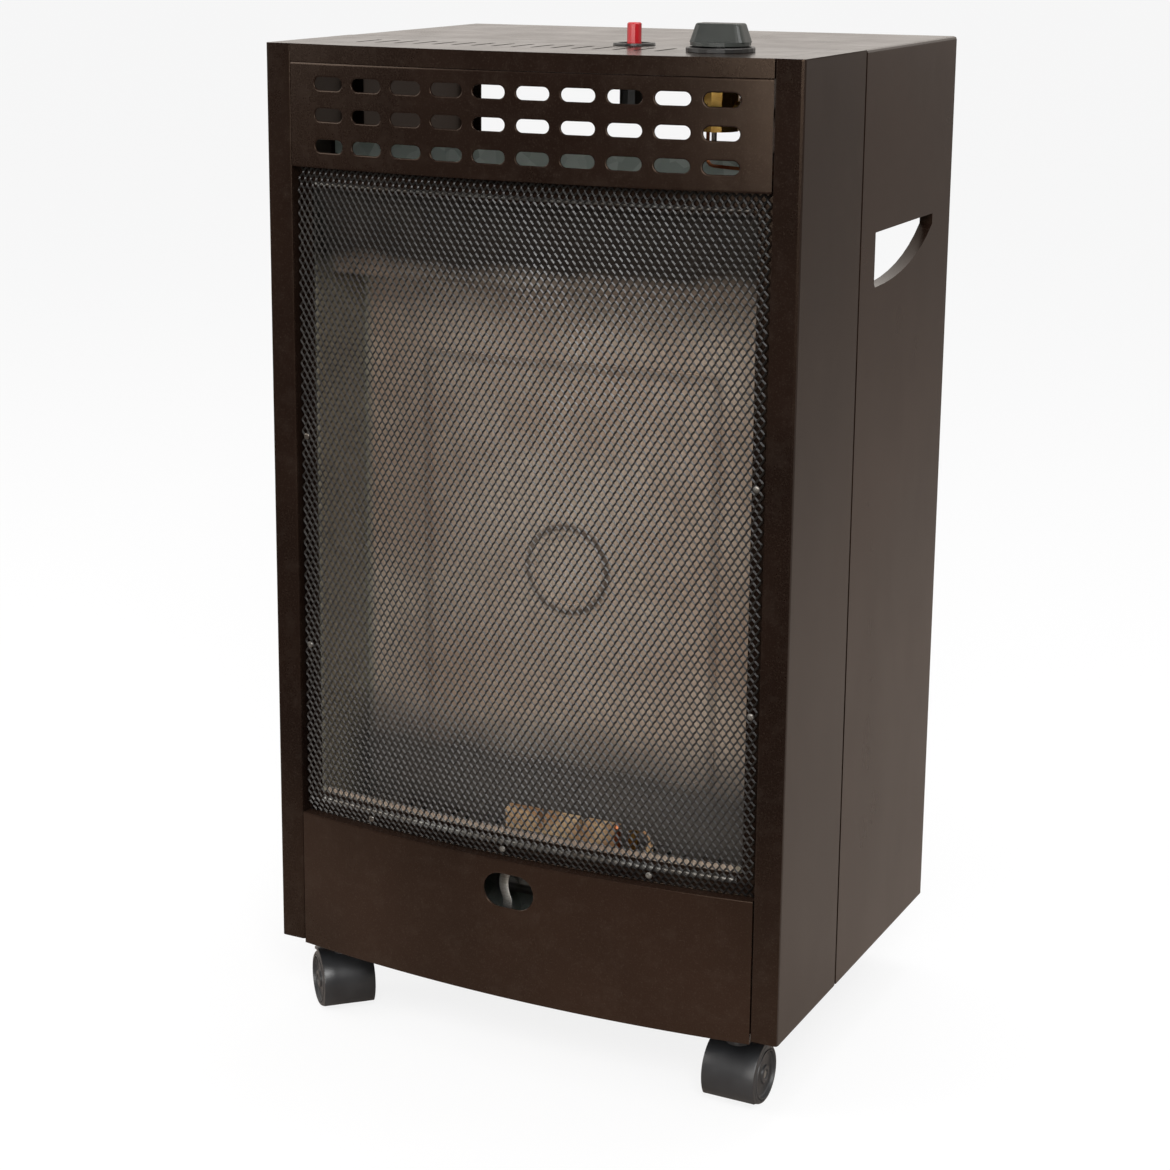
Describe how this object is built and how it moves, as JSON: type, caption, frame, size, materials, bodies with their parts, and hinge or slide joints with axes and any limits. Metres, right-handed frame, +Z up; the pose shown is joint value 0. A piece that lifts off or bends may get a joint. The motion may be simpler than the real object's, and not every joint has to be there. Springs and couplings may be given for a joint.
{
  "type": "portable gas cabinet heater",
  "caption": "Upright cabinet heater on casters: bowed guard over a firebox, slotted panel above, cylinder bay behind.",
  "frame": {"origin": "on the floor under the middle of the overall box", "axes": "+Z up, the front faces -Y, +X is to the right of someone who faces the front"},
  "size_m": [0.42, 0.335, 0.7814],
  "materials": {
    "black_enamel": "semi-gloss black-brown baked enamel",
    "brown_enamel": "semi-gloss dark brown baked enamel",
    "guard_black": "glossy black expanded mesh",
    "stainless": "heat-tinted brushed stainless",
    "galvanised": "spangled zinc",
    "steel": "satin",
    "brass": "machined",
    "copper": "drawn tube",
    "ceramic": "fired, matte",
    "knob_grey": "fine satin",
    "black_plastic": "satin",
    "button_red": "gloss",
    "caster_grey": "satin",
    "wheel_grey": "satin"
  },
  "bodies": {
    "cabinet": {"base_tray": "black_enamel", "left_column": "black_enamel", "right_column": "black_enamel", "top_panel": "black_enamel", "upper_grille": "black_enamel", "guard_frame": "black_enamel", "lower_front_panel": "brown_enamel", "rear_shell": "brown_enamel", "guard_mesh": "guard_black", "firebox_side_left": "stainless", "firebox_side_right": "stainless", "firebox_back": "stainless", "firebox_hood": "stainless", "firebox_floor": "stainless", "heat_shield": "galvanised", "tap_bracket": "galvanised", "burner_box": "steel", "burner_cover": "steel", "mixing_tube": "steel", "pilot_bracket": "steel", "igniter_spring": "steel", "pilot_pipe": "steel", "caster_socket_front_left": "steel", "caster_socket_front_right": "steel", "caster_socket_rear_left": "steel", "caster_socket_rear_right": "steel", "injector_holder": "brass", "pilot_burner": "brass", "tap_body": "brass", "inlet_barb": "brass", "thermocouple_probe": "copper", "thermocouple_lead": "copper", "burner_pipe": "copper", "inlet_pipe": "copper", "ceramic_blocks": "ceramic", "spark_electrode": "ceramic", "knob_bezel": "black_plastic", "igniter_collar": "black_plastic", "igniter_body": "black_plastic"},
    "rear_cover": {"rear_cover": "black_enamel"},
    "tap_plug": {"tap_plug": "brass"},
    "control_knob": {"control_knob": "knob_grey"},
    "igniter_button": {"igniter_button": "button_red"},
    "caster_front_left": {"caster_hood_front_left": "caster_grey", "caster_axle_front_left": "steel"},
    "wheel_front_left_left": {"caster_wheel_front_left_left": "wheel_grey"},
    "wheel_front_left_right": {"caster_wheel_front_left_right": "wheel_grey"},
    "caster_front_right": {"caster_hood_front_right": "caster_grey", "caster_axle_front_right": "steel"},
    "wheel_front_right_left": {"caster_wheel_front_right_left": "wheel_grey"},
    "wheel_front_right_right": {"caster_wheel_front_right_right": "wheel_grey"},
    "caster_rear_left": {"caster_hood_rear_left": "caster_grey", "caster_axle_rear_left": "steel"},
    "wheel_rear_left_left": {"caster_wheel_rear_left_left": "wheel_grey"},
    "wheel_rear_left_right": {"caster_wheel_rear_left_right": "wheel_grey"},
    "caster_rear_right": {"caster_hood_rear_right": "caster_grey", "caster_axle_rear_right": "steel"},
    "wheel_rear_right_left": {"caster_wheel_rear_right_left": "wheel_grey"},
    "wheel_rear_right_right": {"caster_wheel_rear_right_right": "wheel_grey"}
  },
  "joints": [
    {"name": "knob_turn", "type": "hinge", "parent": "cabinet", "child": "tap_plug", "pos_m": [0.128, -0.1005, 0.723], "axis": [0, 0, 1], "range_deg": [0, 240]},
    {"name": "knob_press", "type": "slide", "parent": "tap_plug", "child": "control_knob", "axis": [0, 0, -1], "range_m": [0, 0.003], "stiffness_N_per_m": 800},
    {"name": "igniter_press", "type": "slide", "parent": "cabinet", "child": "igniter_button", "axis": [0, 0, -1], "range_m": [0, 0.006], "stiffness_N_per_m": 900, "deforming": ["igniter_spring"]},
    {"name": "rear_cover_lift", "type": "slide", "parent": "cabinet", "child": "rear_cover", "axis": [0, 0, 1], "range_m": [0, 0.012]},
    {"name": "swivel_front_left", "type": "hinge", "parent": "cabinet", "child": "caster_front_left", "pos_m": [-0.17, -0.1255, 0.062], "axis": [0, 0, 1], "continuous": true},
    {"name": "roll_front_left_left", "type": "hinge", "parent": "caster_front_left", "child": "wheel_front_left_left", "pos_m": [-0.17283, -0.12267, 0.0225], "axis": [0.7071, 0.7071, 0], "continuous": true},
    {"name": "roll_front_left_right", "type": "hinge", "parent": "caster_front_left", "child": "wheel_front_left_right", "pos_m": [-0.17283, -0.12267, 0.0225], "axis": [0.7071, 0.7071, 0], "continuous": true},
    {"name": "swivel_front_right", "type": "hinge", "parent": "cabinet", "child": "caster_front_right", "pos_m": [0.17, -0.1255, 0.062], "axis": [0, 0, 1], "continuous": true},
    {"name": "roll_front_right_left", "type": "hinge", "parent": "caster_front_right", "child": "wheel_front_right_left", "pos_m": [0.17, -0.1215, 0.0225], "axis": [1, 0, 0], "continuous": true},
    {"name": "roll_front_right_right", "type": "hinge", "parent": "caster_front_right", "child": "wheel_front_right_right", "pos_m": [0.17, -0.1215, 0.0225], "axis": [1, 0, 0], "continuous": true},
    {"name": "swivel_rear_left", "type": "hinge", "parent": "cabinet", "child": "caster_rear_left", "pos_m": [-0.144, 0.1225, 0.062], "axis": [0, 0, 1], "continuous": true},
    {"name": "roll_rear_left_left", "type": "hinge", "parent": "caster_rear_left", "child": "wheel_rear_left_left", "pos_m": [-0.144, 0.1265, 0.0225], "axis": [1, 0, 0], "continuous": true},
    {"name": "roll_rear_left_right", "type": "hinge", "parent": "caster_rear_left", "child": "wheel_rear_left_right", "pos_m": [-0.144, 0.1265, 0.0225], "axis": [1, 0, 0], "continuous": true},
    {"name": "swivel_rear_right", "type": "hinge", "parent": "cabinet", "child": "caster_rear_right", "pos_m": [0.144, 0.1225, 0.062], "axis": [0, 0, 1], "continuous": true},
    {"name": "roll_rear_right_left", "type": "hinge", "parent": "caster_rear_right", "child": "wheel_rear_right_left", "pos_m": [0.144, 0.1265, 0.0225], "axis": [1, 0, 0], "continuous": true},
    {"name": "roll_rear_right_right", "type": "hinge", "parent": "caster_rear_right", "child": "wheel_rear_right_right", "pos_m": [0.144, 0.1265, 0.0225], "axis": [1, 0, 0], "continuous": true}
  ]
}
